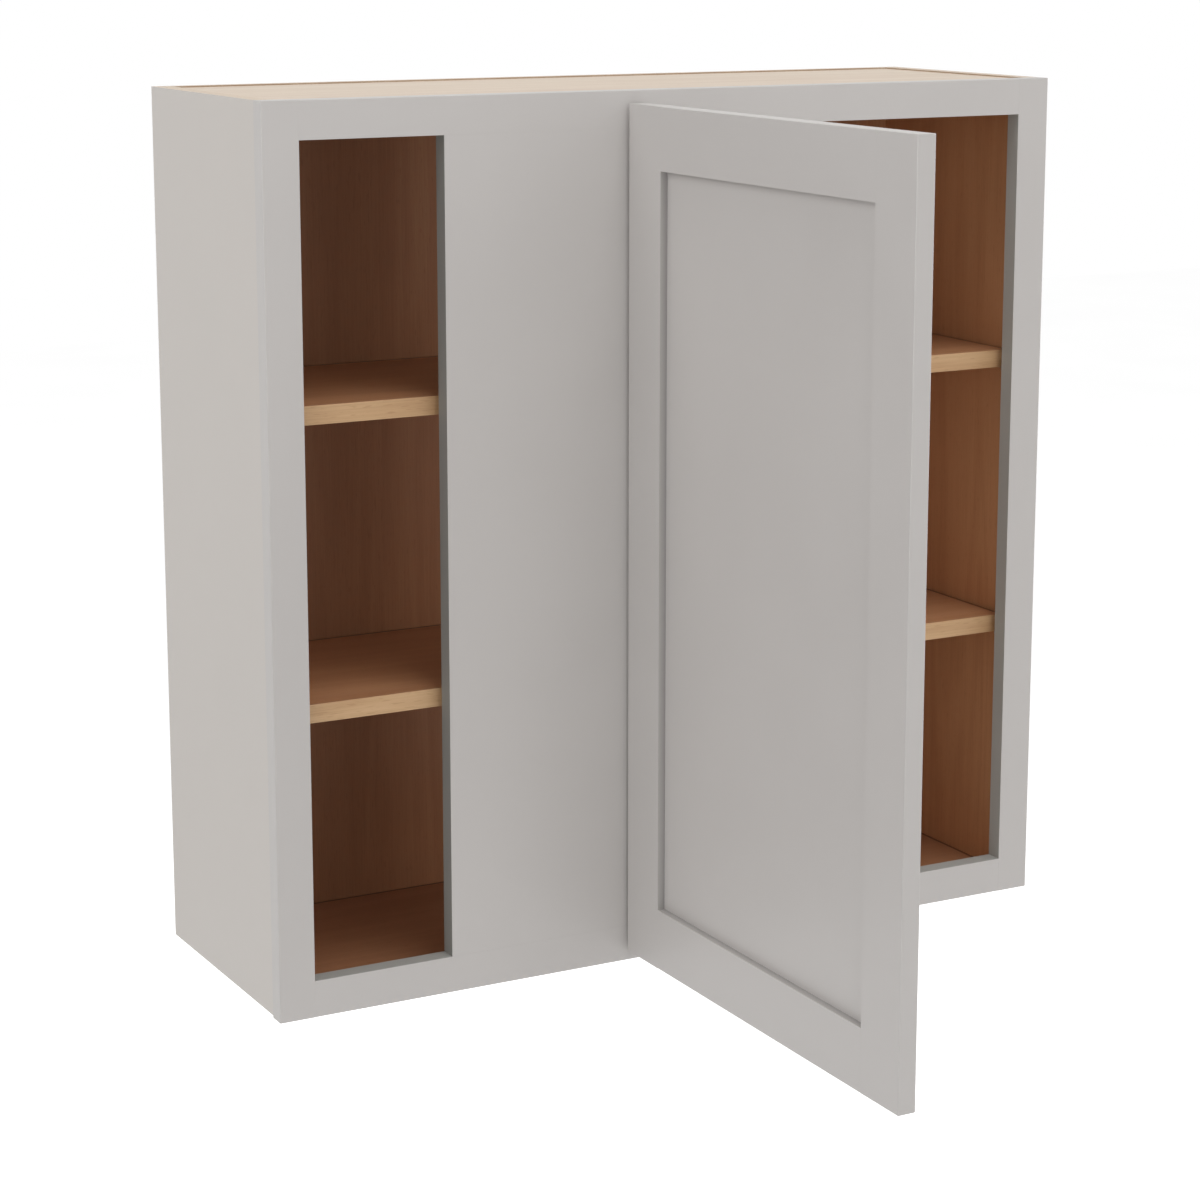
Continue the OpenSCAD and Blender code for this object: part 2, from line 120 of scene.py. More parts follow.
def stretchedNoise(tree, coords, cellMm, **settings):
    # Noise with cells of its own size along X, Y and Z. settings name the noise's other inputs
    scale = tuple(1 / (size * mm) for size in cellMm)
    mapped = addNode(tree, "ShaderNodeMapping", {"Vector": coords, "Scale": scale})
    noise = addNode(tree, "ShaderNodeTexNoise", {"Vector": mapped.outputs[0], "Scale": 1.0, **settings})
    return noise.outputs[0]


def ramped(tree, value, positions, tones):
    stops = list(zip(positions, tones))
    return addNode(tree, "ShaderNodeValToRGB", {"Fac": value}, stops=stops).outputs["Color"]


# Materials

paint = {
    "light": "#C5C1BE",  # sprayed warm grey
    "dark": "#C3BFBC",
    "above": "#8A8682",  # painted shade, mixed into the coat on edges that look up
    "aboveShare": 0.38,  # how much of that painted shade shows where an edge looks straight up
    "aboveFrom": 0.3,  # Z of the normal at which it begins
    "side": ("#C8C2BC", "#CAC4BE"),  # a warmer batch on the sides
    "bay": ("#8C8D89", "#90918D"),  # the same coat, darker here as painted shade and flatter in sheen, on the edges inside the blind bay
    "doorway": ("#ABABA6", "#AFB0AB"),  # painted shade round the door's opening, lighter than in the bay
    "sill": ("#A3A39F", "#A6A7A3"),  # painted shade on the bottom rail's upper edge
    "recess": ("#B7B4B0", "#989493"),  # painted shade on the recess's ledges, darkening from the door's face to the panel
    "cloudMm": 170,  # slow drift of the sprayed coats
    "cloudStops": (0.35, 0.65),
    "peelMm": 2.6,  # real orange peel is about 1.5 mm; drawn coarser so that it shows
    "peelDepthMm": 0.012,
    "sheen": (0.4, 0.5),  # roughness of the satin coat
    "edgeFlatter": 0.12,  # added to it on the edges with painted shade
}

maple = {
    "fibreMm": (1.5, 95),  # fine streaks: across the grain, along it
    "figureMm": (42, 620),  # broad figure of a plain-sliced leaf
    "ringCount": 5.0,  # ring lines over one swing of the figure
    "fleckMm": (1.3, 11),  # short brown flecks; real ones are 0.3 mm wide
    "mix": (0.62, 0.12, 0.3),  # shares of fibre, rings and figure in the tone
    "fleckFrom": (0.68, 0.8),  # height of the noise at which a fleck begins and is full
    "fleckDepth": 0.22,
    "toneStops": (0.3, 0.54, 0.78),
    "leafMm": 210,  # width of one veneer leaf
    "grainDepthMm": 0.03,
    "boardSheen": (0.38, 0.52),  # roughness of the satin lacquer
    "innerSheen": (0.4, 0.54),
    "bareSheen": (0.55, 0.68),  # and of the wood without it
    "dowelSheen": (0.6, 0.75),
    "driftMm": 300,  # width of one swing of painted light and shade across the back panel, from dark to light and back
    "driftCentreMm": -200,
    "marginMm": 3.5,  # width of the darker margin, painted shade where a board meets the case
    "marginShare": 0.8,
    "marginTone": "#5A3A24",
}

ply = {
    "thicknessMm": 1.73,  # eleven plies in 19.05 mm
    "tones": ("#A78F77", "#BEAB96", "#CBBCA8"),
    "stops": (0.15, 0.45, 0.8),
    "wobbleMm": 45,  # length of the plies' waves
    "wobbleHeightMm": 0.5,  # and their height
    "sidePhase": 0.4,  # where the plies begin on a side panel, in radians
    "panelPhase": 0.9,  # and on the other panels
    "speckleMm": 1.1,
    "speckleShare": 0.9,
}

# Places of the case in mm, each a little inside the surface that it tells from the rest
caseLimits = {
    "topEdge": (2, 910.5, None),  # cut edges: axis, least, most
    "bottomEdge": (2, None, 1.1),
    "backEdge": (1, -0.1, None),
    "frontEdge": (1, None, -278.05),
    "leftFace": (0, None, -457.1),
    "rightFace": (0, 457.1, None),
    "topFace": (2, 910.3, None),
    "bottomFace": (2, None, 1.3),
}
innerHalfWidth = 438.15  # the case's inside, in mm
backFaceY = -12.7
recessX = (-64.3, -56.3)  # the door's face and its panel's
lacquerIndex = 1.5

# Clear coated maple of the inside, each from dark to light. The inside is one maple; its tones differ board
# by board as painted light and shade: lighter on the sides, darker on the floor and top
shelfTones = ("#A77653", "#B1805C", "#BA8B65")
floorTones = ("#9C6E4E", "#A67757", "#AF815F")
sideTones = ("#BD8860", "#C9946A", "#D19D73")
# The back panel's maple in painted shade and in painted light; it drifts between both
backShadeTones = ("#946646", "#9D6F4E", "#A57856")
backLightTones = ("#B6825C", "#C18C66", "#CA996F")
outside = ("#BCA998", "#C5B6A5", "#CEC0B1")  # bare pale faces on top and behind
lipping = ("#BC946B", "#C9A379", "#D4B087")  # solid band on the shelves' front edge
beech = ("#B98F63", "#C9A27A", "#D6B48E")  # dowels
wholeTurn = 2 * pi


def beyond(tree, limits):
    # 1 where an object coordinate lies past one of the limits, each given as
    # (axis, least, None) or (axis, None, most), in mm
    point = numbers(tree, objectCoords(tree))
    total = None
    for axis, least, most in limits:
        operation = "GREATER_THAN" if least is not None else "LESS_THAN"
        value = least if least is not None else most
        test = calculated(tree, operation, point[axis], value * mm)
        total = test if total is None else calculated(tree, "MAXIMUM", total, test)
    return total


def mixedColour(tree, share, first, second):
    # first where share is 0 and second where it is 1
    inputs = {"Factor": share, 6: first, 7: second}
    return addNode(tree, "ShaderNodeMix", inputs, data_type="RGBA").outputs[2]


def mixedValue(tree, share, first, second):
    inputs = {"Factor": share, 2: first, 3: second}
    return addNode(tree, "ShaderNodeMix", inputs, data_type="FLOAT").outputs[0]


def paintedLightDrift(tree):
    # Share of the lighter tones across X, painted light and shade: 0.5 + 0.5 sin(whole turn * (x - centre) /
    # width)
    point = numbers(tree, objectCoords(tree))
    turnPerMm = wholeTurn / maple["driftMm"]
    turn = calculated(tree, "MULTIPLY_ADD", point[0], turnPerMm / mm, -turnPerMm * maple["driftCentreMm"])
    wave = calculated(tree, "SINE", turn)
    return addNode(tree, "ShaderNodeMapRange", {"Value": wave, "From Min": -1.0}).outputs[0]


def withContactShade(tree, wood, halfWidth, backY):
    # Painted shade where a board meets the case: its ends and back are darker
    width = maple["marginMm"]
    inner = halfWidth - width
    margin = beyond(tree, [(0, inner, None), (0, None, -inner), (1, backY - width, None)])
    share = calculated(tree, "MULTIPLY", margin, maple["marginShare"])
    return mixedColour(tree, share, wood, linearColour(maple["marginTone"]))


def grainNodes(tree, axes, tones, leafAxis=None, litTones=None):
    # Maple: tone = a fibre + b rings + c figure less the flecks, a, b and c from the mix, through a ramp
    # of three tones. axes gives the size in mm along X, Y and Z as a choice of 0 (across the grain) or 1
    # (along it). Where litTones gives three lighter tones, the panel drifts between both: painted light and
    # shade
    coords = objectCoords(tree)
    if leafAxis is not None:
        # Each leaf of veneer starts at its own height in the log
        leaf = calculated(tree, "DIVIDE", numbers(tree, coords)[leafAxis], maple["leafMm"] * mm)
        leafNumber = calculated(tree, "FLOOR", leaf)
        chance = addNode(tree, "ShaderNodeTexWhiteNoise", {"W": leafNumber}, noise_dimensions="1D")
        inputs = {0: chance.outputs["Color"], 1: coords}
        coords = addNode(tree, "ShaderNodeVectorMath", inputs, operation="ADD").outputs[0]

    def cell(key):
        return [maple[key][axis] for axis in axes]

    fibreMix, ringMix, figureMix = maple["mix"]
    fibre = stretchedNoise(tree, coords, cell("fibreMm"), Detail=4.0, Roughness=0.62)
    figure = stretchedNoise(tree, coords, cell("figureMm"), Detail=1.5, Roughness=0.45, Distortion=0.25)
    wave = calculated(tree, "SINE", calculated(tree, "MULTIPLY", figure, maple["ringCount"] * wholeTurn))
    rings = addNode(tree, "ShaderNodeMapRange", {"Value": wave, "From Min": -1.0}).outputs[0]
    fleckNoise = stretchedNoise(tree, coords, cell("fleckMm"), Detail=0.0)
    begin, full = maple["fleckFrom"]
    fleck = addNode(tree, "ShaderNodeMapRange", {"Value": fleckNoise, "From Min": begin, "From Max": full,
                                                 "To Max": maple["fleckDepth"]}).outputs[0]
    tone = calculated(tree, "MULTIPLY", fibre, fibreMix)
    tone = calculated(tree, "MULTIPLY_ADD", rings, ringMix, tone)
    tone = calculated(tree, "MULTIPLY_ADD", figure, figureMix, tone)
    tone = calculated(tree, "SUBTRACT", tone, fleck)
    colour = ramped(tree, tone, maple["toneStops"], tones)
    if litTones is not None:
        colour = mixedColour(tree, paintedLightDrift(tree), colour, ramped(tree, tone, maple["toneStops"], litTones))
    return colour, fibre


def paintNodes(tree, dark=paint["dark"], light=paint["light"]):
    # Sprayed satin paint: colour drifts slowly, and the height is the orange peel
    coords = objectCoords(tree)
    cloud = cloudNoise(tree, coords, paint["cloudMm"], 2.0)
    colour = ramped(tree, cloud, paint["cloudStops"], (dark, light))
    peel = cloudNoise(tree, coords, paint["peelMm"], 1.0)
    return colour, peel, spread(tree, cloud, *paint["sheen"])


def paintedShadeAbove(tree, coat):
    # Painted shade on the edges that look up: share = most * (z - from) / (1 - from),
    # with z the normal's Z
    normal = addNode(tree, "ShaderNodeNewGeometry").outputs["Normal"]
    share = addNode(tree, "ShaderNodeMapRange", {"Value": numbers(tree, normal)[2],
                                                 "From Min": paint["aboveFrom"],
                                                 "To Max": paint["aboveShare"]})
    return mixedColour(tree, share.outputs[0], coat, linearColour(paint["above"]))


def satinPaint():
    # Conversion varnish in warm grey, sprayed on maple: a soft broad sheen with no grain showing, and painted
    # shade where it looks up
    material, tree = newMaterial("satinGreyPaintShadedAbove")
    colour, peel, sheen = paintNodes(tree)
    finishMaterial(tree, paintedShadeAbove(tree, colour), sheen, peel, paint["peelDepthMm"], IOR=lacquerIndex)
    return material


def edgeShadePaint(name, tones):
    # The edges inside the openings: darker paint as painted shade, and flatter in sheen
    material, tree = newMaterial(name)
    colour, peel, sheen = paintNodes(tree, *tones)
    flatter = calculated(tree, "ADD", sheen, paint["edgeFlatter"])
    finishMaterial(tree, colour, flatter, peel, paint["peelDepthMm"], IOR=lacquerIndex)
    return material


def recessShadePaint():
    # The recess's ledges: painted shade, darker towards the panel
    material, tree = newMaterial("recessShadeGreyPaint")
    _, peel, sheen = paintNodes(tree)
    point = numbers(tree, objectCoords(tree))
    depth = addNode(tree, "ShaderNodeMapRange", {"Value": point[0], "From Min": recessX[0] * mm,
                                                 "From Max": recessX[1] * mm})
    colour = ramped(tree, depth.outputs[0], (0.0, 1.0), paint["recess"])
    finishMaterial(tree, colour, sheen, peel, paint["peelDepthMm"], IOR=lacquerIndex)
    return material


def grainMaterial(name, axes, tones, sheen=maple["boardSheen"]):
    # Solid maple or beech, with its grain along one axis. The fibres break up the sheen a little
    material, tree = newMaterial(name)
    colour, fibre = grainNodes(tree, axes, tones)
    finishMaterial(tree, colour, spread(tree, fibre, *sheen), fibre, maple["grainDepthMm"], IOR=lacquerIndex)
    return material


def shelfBoardFinish():
    # Plywood shelf under clear satin lacquer: grain along the shelf, and painted shade as a darker margin at
    # its ends and back
    material, tree = newMaterial("mapleShelf")
    wood, fibre = grainNodes(tree, (1, 0, 0), shelfTones)
    low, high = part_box("lower_shelf_board")
    colour = withContactShade(tree, wood, high[0] / mm, high[1] / mm)
    roughness = spread(tree, fibre, *maple["boardSheen"])
    finishMaterial(tree, colour, roughness, fibre, maple["grainDepthMm"], IOR=lacquerIndex)
    return material


def plyNodes(tree, axis, phase):
    # Cut edge of plywood: bands across the thickness, light where a ply shows its length, dark at its ends:
    # tone = sin(pi (place + wobble) / thickness + phase) + share * speckle
    coords = objectCoords(tree)
    wobble = cloudNoise(tree, coords, ply["wobbleMm"], 1.0)
    across = numbers(tree, coords)[axis]
    shifted = calculated(tree, "MULTIPLY_ADD", wobble, ply["wobbleHeightMm"] * mm, across)
    turn = calculated(tree, "MULTIPLY_ADD", shifted, pi / (ply["thicknessMm"] * mm), phase)
    bands = calculated(tree, "SINE", turn)
    speckle = cloudNoise(tree, coords, ply["speckleMm"], 3.0)
    mixed = calculated(tree, "MULTIPLY_ADD", speckle, ply["speckleShare"], bands)
    return ramped(tree, mixed, ply["stops"], ply["tones"])


def sidePanelFinish(name, outerLimit):
    # Plywood side: sprayed paint on the outer face, clear coated maple inside, bare plies on the cut edges
    material, tree = newMaterial(name)
    wood, fibre = grainNodes(tree, (0, 0, 1), sideTones)
    coat, peel, sheen = paintNodes(tree, *paint["side"])
    plies = plyNodes(tree, 0, ply["sidePhase"])
    edge = beyond(tree, [caseLimits[key] for key in ("topEdge", "bottomEdge", "backEdge", "frontEdge")])
    outer = beyond(tree, [outerLimit])
    colour = mixedColour(tree, outer, mixedColour(tree, edge, wood, plies), coat)
    roughness = mixedValue(tree, outer, spread(tree, fibre, *maple["innerSheen"]), sheen)
    height = mixedValue(tree, outer, fibre, peel)
    finishMaterial(tree, colour, roughness, height, maple["grainDepthMm"] / 2, IOR=lacquerIndex)
    return material


def panelFinish(name, axes, tones, paleLimit, plyAxis, edgeLimits, leafAxis=None, litTones=None):
    # Plywood panel: pale and bare on its hidden face, clear coated on the face inside, plies on the cut edges
    material, tree = newMaterial(name)
    wood, fibre = grainNodes(tree, axes, tones, leafAxis, litTones)
    # Painted shade: a darker margin where the board meets the case, on panels without painted light
    if litTones is None:
        wood = withContactShade(tree, wood, innerHalfWidth, backFaceY)
    pale, paleFibre = grainNodes(tree, axes, outside, leafAxis)
    plies = plyNodes(tree, plyAxis, ply["panelPhase"])
    hidden = beyond(tree, [paleLimit])
    edge = beyond(tree, edgeLimits)
    colour = mixedColour(tree, edge, mixedColour(tree, hidden, wood, pale), plies)
    inner, bare = spread(tree, fibre, *maple["innerSheen"]), spread(tree, paleFibre, *maple["bareSheen"])
    roughness = mixedValue(tree, hidden, inner, bare)
    finishMaterial(tree, colour, roughness, fibre, maple["grainDepthMm"], IOR=lacquerIndex)
    return material


steel = {
    "cloudMm": 6,
    "cloudStops": (0.3, 0.7),
    "dragMm": (0.35, 0.35, 5),  # lines that the press tool leaves
    "dragDepthMm": 0.0015,
    "nickel": ("#ABA8A3", "#BDBBB6", 0.34, 0.44),  # dark and light tone, least and most roughness
    "zinc": ("#A7ABB0", "#BFC3C7", 0.32, 0.44),
}


def platedSteel(name, dark, light, low, high):
    # Plated pressed steel: bright, with the faint cloud and fine drag lines of the press tool
    material, tree = newMaterial(name)
    coords = objectCoords(tree)
    cloud = cloudNoise(tree, coords, steel["cloudMm"], 3.0)
    drag = stretchedNoise(tree, coords, steel["dragMm"], Detail=2.0)
    colour = ramped(tree, cloud, steel["cloudStops"], (dark, light))
    finishMaterial(tree, colour, spread(tree, drag, low, high), drag, steel["dragDepthMm"], Metallic=1.0)
    return material


pad = {
    "cloudMm": 2.5,
    "cloudStops": (0.3, 0.7),
    "tones": ("#E2E2DC", "#F2F2EE"),
    "sheen": (0.12, 0.3),
    "waveDepthMm": 0.01,
    "clearness": 0.75,
    "index": 1.49,
}


def clearPolyurethane():
    # Cast polyurethane: clear and slightly cloudy, with a soft moulded gloss
    material, tree = newMaterial("clearPolyurethane")
    coords = objectCoords(tree)
    cloud = cloudNoise(tree, coords, pad["cloudMm"], 2.0)
    colour = ramped(tree, cloud, pad["cloudStops"], pad["tones"])
    finishMaterial(tree, colour, spread(tree, cloud, *pad["sheen"]), cloud, pad["waveDepthMm"],
                   IOR=pad["index"], Transmission_Weight=pad["clearness"])
    return material


greyPaint = satinPaint()
bayPaint = edgeShadePaint("bayEdgeShadeGreyPaint", paint["bay"])
doorwayPaint = edgeShadePaint("doorwayEdgeShadeGreyPaint", paint["doorway"])
sillPaint = edgeShadePaint("sillEdgeShadeGreyPaint", paint["sill"])
ledgePaint = recessShadePaint()
leftSideFinish = sidePanelFinish("leftSidePlywood", caseLimits["leftFace"])
rightSideFinish = sidePanelFinish("rightSidePlywood", caseLimits["rightFace"])
topFinish = panelFinish("topPlywood", (1, 0, 0), floorTones, caseLimits["topFace"], 2,
                        [caseLimits["backEdge"]])
bottomFinish = panelFinish("bottomPlywood", (1, 0, 0), floorTones, caseLimits["bottomFace"], 2,
                           [caseLimits["backEdge"]])
backFinish = panelFinish("backPlywood", (0, 0, 1), backShadeTones, caseLimits["backEdge"], 1,
                         [caseLimits["topEdge"], caseLimits["bottomEdge"]], 0, backLightTones)
shelfFinish = shelfBoardFinish()
bandFinish = grainMaterial("mapleLipping", (1, 0, 0), lipping)
beechFinish = grainMaterial("beechDowel", (0, 0, 0), beech, maple["dowelSheen"])
nickelFinish = platedSteel("nickelPlatedSteel", *steel["nickel"])
zincFinish = platedSteel("zincPlatedSteel", *steel["zinc"])
padFinish = clearPolyurethane()
print("materials made:", len(bpy.data.materials))


# Mesh helpers

def newPiece(name, vertices, faces, materials, smooth=None, finish=None):
    # A mesh object at the origin from arrays of points and faces. smooth says which faces are rounded,
    # and finish which material each one has
    mesh = bpy.data.meshes.new(name)
    mesh.from_pydata(np.asarray(vertices).tolist(), [], faces)
    for material in materials:
        mesh.materials.append(material)
    if smooth is not None:
        mesh.polygons.foreach_set("use_smooth", np.asarray(smooth, bool))
    if finish is not None:
        mesh.polygons.foreach_set("material_index", np.asarray(finish, np.int32))
    mesh.update()
    piece = bpy.data.objects.new(name, mesh)
    bpy.context.scene.collection.objects.link(piece)
    return piece


def drawnIn(outline, distance):
    # Moves a closed outline inwards: point + distance * m, m the mitre between the left normals of both sides
    side = np.roll(outline, -1, axis=0) - outline
    side /= np.linalg.norm(side, axis=1)[:, None]
    normal = np.stack([-side[:, 1], side[:, 0]], axis=1)
    mitre = normal + np.roll(normal, 1, axis=0)
    mitre /= (mitre * normal).sum(axis=1)[:, None]
    return outline + mitre * distance


def roundedSection(corners, radii, steps=4):
    # Rounds every corner of a closed outline. With d the way in, n its left normal and a the turn there:
    # point = corner - d r tan(|a| / 2) + s n r - s n r cos(t) + d r sin(t), t from 0 to |a|, s the sign of a
    corners = np.asarray(corners, float)
    radii = np.broadcast_to(np.asarray(radii, float), len(corners))[:, None, None]
    wayIn = corners - np.roll(corners, 1, axis=0)
    wayIn /= np.linalg.norm(wayIn, axis=1)[:, None]
    wayOut = np.roll(wayIn, -1, axis=0)
    normal = np.stack([-wayIn[:, 1], wayIn[:, 0]], axis=1)
    turn = np.arctan2(wayIn[:, 0] * wayOut[:, 1] - wayIn[:, 1] * wayOut[:, 0], (wayIn * wayOut).sum(axis=1))
    turn = turn[:, None, None]
    t = np.linspace(0, 1, steps + 1)[None, :, None] * np.abs(turn)
    along = wayIn[:, None, :] * radii
    across = np.sign(turn) * normal[:, None, :] * radii
    tangentPoint = corners[:, None, :] - along * np.tan(np.abs(turn) / 2)
    points = tangentPoint + across - across * np.cos(t) + along * np.sin(t)
    return points.reshape(-1, 2)


swept = {
    "longestArcSide": 0.8,  # longer sides of an outline are flat faces; all in mm
    "leastRadius": 0.02,
    "easeRows": 3,  # of faces on each eased end
    "sideReach": 2,  # how near a listed point lies to the middle of its side
}


def sweptBoard(corners, radii, axis, start, end, ease, shadedSides=()):
    # Carries a rounded section, in mm, along X, Y or Z. Each end is eased: at t from 0 to 90 degrees the
    # section stands e (1 - cos t) from the end and is drawn in by e (1 - sin t), with its outer corners'
    # radii less by that and its inner ones' greater. shadedSides lists points on the straight sides that take
    # the second material, a darker paint that is painted shade
    corners = np.asarray(corners, float)
    radii = np.broadcast_to(np.asarray(radii, float), len(corners))
    wayIn = corners - np.roll(corners, 1, axis=0)
    wayOut = np.roll(wayIn, -1, axis=0)
    bend = np.sign(wayIn[:, 0] * wayOut[:, 1] - wayIn[:, 1] * wayOut[:, 0])
    t = np.linspace(0, np.pi / 2, swept["easeRows"] + 1)
    depth = ease * (1 - np.cos(t))
    inset = ease * (1 - np.sin(t))
    places = np.concatenate([start + depth, (end - depth)[::-1]])
    insets = np.concatenate([inset, inset[::-1]])
    flat = np.stack([
        roundedSection(drawnIn(corners, distance), np.maximum(radii - bend * distance, swept["leastRadius"]))
        for distance in insets
    ])
    along = np.broadcast_to(places[:, None, None], flat.shape[:2] + (1,))
    order = {"x": (2, 0, 1), "y": (1, 2, 0), "z": (0, 1, 2)}[axis]
    points = np.concatenate([flat, along], axis=2)[:, :, order] * mm
    rows, count = flat.shape[:2]
    index = np.arange(rows * count).reshape(rows, count)
    nextIndex = np.roll(index, -1, axis=1)
    quads = np.stack([index[:-1], nextIndex[:-1], nextIndex[1:], index[1:]], axis=-1).reshape(-1, 4)
    faces = quads.tolist() + [index[0, ::-1].tolist(), index[-1].tolist()]
    outline = flat[rows // 2]
    side = np.roll(outline, -1, axis=0) - outline
    curved = np.broadcast_to(np.linalg.norm(side, axis=1) < swept["longestArcSide"], (rows - 1, count)).copy()
    curved[:swept["easeRows"]] = True
    curved[swept["easeRows"] + 1:] = True
    middle = outline + side / 2
    shadedFace = np.zeros(count, bool)
    for point in shadedSides:
        shadedFace |= np.linalg.norm(middle - np.asarray(point), axis=1) < swept["sideReach"]
    shadedFace = np.broadcast_to(shadedFace, (rows - 1, count))
    endCaps = [False, False]
    smooth = np.append(curved.ravel(), endCaps)
    return points.reshape(-1, 3), faces, smooth, np.append(shadedFace.ravel(), endCaps)


def joined(*parts):
    # Several closed shells as the arrays of one mesh: each one's numbers start after the last one's points
    starts = np.cumsum([0] + [len(part[0]) for part in parts[:-1]])
    points = np.concatenate([part[0] for part in parts])
    faces = [[int(corner + start) for corner in face]
             for part, start in zip(parts, starts) for face in part[1]]
    smooth = np.concatenate([part[2] for part in parts])
    finish = np.concatenate([part[3] for part in parts])
    return points, faces, smooth, finish


def boardPiece(name, materials, *parts):
    points, faces, smooth, finish = joined(*parts)
    return newPiece(name, points, faces, materials, smooth, finish)


def nodeBox(node):
    # Lowest and highest corner of a CAD node, in mm
    low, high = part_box(node)
    return np.array(low) / mm, np.array(high) / mm


def place(piece, body, slot, *nodes):
    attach(piece, body)
    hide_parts(*nodes)


def rectangle(low, high, first, second):
    # Corners of the box low..high seen across two of its axes, anticlockwise
    return [(low[first], low[second]), (high[first], low[second]),
            (high[first], high[second]), (low[first], high[second])]


eased = {
    "mergeMm": 0.01,
    "flatAngle": 1,  # degrees; triangles less apart than that are one face
    "sharpAngle": 35,
    "segments": 3,
    "flatWeight": 100,
}


def easedCopy(name, node, easeMm, finishes, body, slot):
    # The CAD node's own form with its triangles merged, its flat areas whole and its edges rounded by a bevel
    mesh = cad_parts[node].data.copy()
    work = bmesh.new()
    work.from_mesh(mesh)
    bmesh.ops.remove_doubles(work, verts=work.verts, dist=eased["mergeMm"] * mm)
    bmesh.ops.dissolve_limit(work, angle_limit=radians(eased["flatAngle"]), verts=work.verts,
                              edges=work.edges)
    work.to_mesh(mesh)
    work.free()
    mesh.polygons.foreach_set("use_smooth", np.ones(len(mesh.polygons), bool))
    mesh.materials.clear()
    for finish in finishes:
        mesh.materials.append(finish)
    mesh.polygons.foreach_set("material_index", np.zeros(len(mesh.polygons), np.int32))
    mesh.update()
    piece = bpy.data.objects.new(name, mesh)
    bpy.context.scene.collection.objects.link(piece)
    bevel = piece.modifiers.new("roundedEdge", "BEVEL")
    bevel.width = easeMm * mm
    bevel.segments = eased["segments"]
    bevel.limit_method = "ANGLE"
    bevel.angle_limit = radians(eased["sharpAngle"])
    weighted = piece.modifiers.new("flatAreasFlat", "WEIGHTED_NORMAL")
    weighted.weight = eased["flatWeight"]
    place(piece, body, slot, node)
    return piece


# Face frame

faceFrame = {
    "outerEaseMm": 0.7,  # sanded arris on the frame's outer corners
    "openingEaseMm": 0.15,  # crisp edge round the openings
    "backEaseMm": 0.05,  # square at the back, where the frame meets the case
    "endEaseMm": 0.25,  # ends of the stiles
    "jointEaseMm": 0.04,  # where a rail meets a stile, filled by the paint
}


def frameBoard(name, node, axis, frontEases, shadedSides, ease, shadedPaint):
    # Rectangle low..high carried along the member's length. frontEases are the radii of its two front
    # corners, and shadedSides says which of its two sides, 0 for the lower and 1 for the upper, edge an
    # opening and take shadedPaint, a darker paint that is painted shade
    low, high = nodeBox(node)
    back = faceFrame["backEaseMm"]
    middleY = (low[1] + high[1]) / 2
    if axis == "z":
        corners = rectangle(low, high, 0, 1)
        radii = (frontEases[0], frontEases[1], back, back)
        middles = [((low[0], high[0])[side], middleY) for side in shadedSides]
        start, end = low[2], high[2]
    else:
        corners = rectangle(low, high, 1, 2)
        radii = (frontEases[0], back, back, frontEases[1])
        middles = [(middleY, (low[2], high[2])[side]) for side in shadedSides]
        start, end = low[0], high[0]
    shell = sweptBoard(corners, radii, axis, start, end, ease, middles)
    place(boardPiece(name, [greyPaint, shadedPaint], shell), "cabinet", "painted_frame", node)


outer, opening = faceFrame["outerEaseMm"], faceFrame["openingEaseMm"]
free, jointed = faceFrame["endEaseMm"], faceFrame["jointEaseMm"]
frameBoard("leftStile", "left_stile", "z", (outer, opening), [1], free, bayPaint)
frameBoard("blindStile", "blind_stile", "z", (opening, opening), [0, 1], jointed, bayPaint)
frameBoard("rightStile", "right_stile", "z", (opening, outer), [0], free, doorwayPaint)
frameBoard("topRail", "top_rail", "x", (opening, outer), [0], jointed, doorwayPaint)
frameBoard("bottomRail", "bottom_rail", "x", (outer, opening), [1], jointed, sillPaint)
print("face frame made")


# Door, which stands open: its outer face looks along -X and its free edge along -Y

door = {
    "groove": (8.0, 14.45),  # from the outer face
    "grooveDepth": 10.0,
    "tongue": (8.05, 14.4),  # the rails' tongues fill the grooves but for a hairline
    "tongueLength": 9.4,
    "outerEaseMm": 0.8,
    "recessEaseMm": 0.15,
    "grooveEaseMm": 0.1,
    "backEaseMm": 0.3,
    "endEaseMm": 0.6,
    "jointEaseMm": 0.04,
    "tongueEaseMm": 0.1,
    "tongueOverlapMm": 0.2,  # how far a tongue's shell runs into the rail's
    "hingeEaseMm": 0.25,  # all the edges of the stile that carries the hinges
    "onFaceMm": 0.1,
}
doorEases = [door[key] for key in ("outerEaseMm", "recessEaseMm", "grooveEaseMm", "backEaseMm")]


def doorStile(name, node):
    # Upright with a groove along the edge that faces the panel, on +Y
    low, high = nodeBox(node)
    near, far = low[0] + door["groove"][0], low[0] + door["groove"][1]
    outer, recess, groove, back = doorEases
    bottom = high[1] - door["grooveDepth"]
    corners = [(low[0], low[1]), (high[0], low[1]), (high[0], high[1]), (far, high[1]),
               (far, bottom), (near, bottom), (near, high[1]), (low[0], high[1])]
    radii = (outer, outer, back, groove, groove, groove, groove, recess)
    ledge = ((low[0] + near) / 2, high[1])
    # The recess's ledge takes the second paint, painted shade
    shell = sweptBoard(corners, radii, "z", low[2], high[2], door["endEaseMm"], [ledge])
    place(boardPiece(name, [greyPaint, ledgePaint], shell), "door", "painted_door", node)


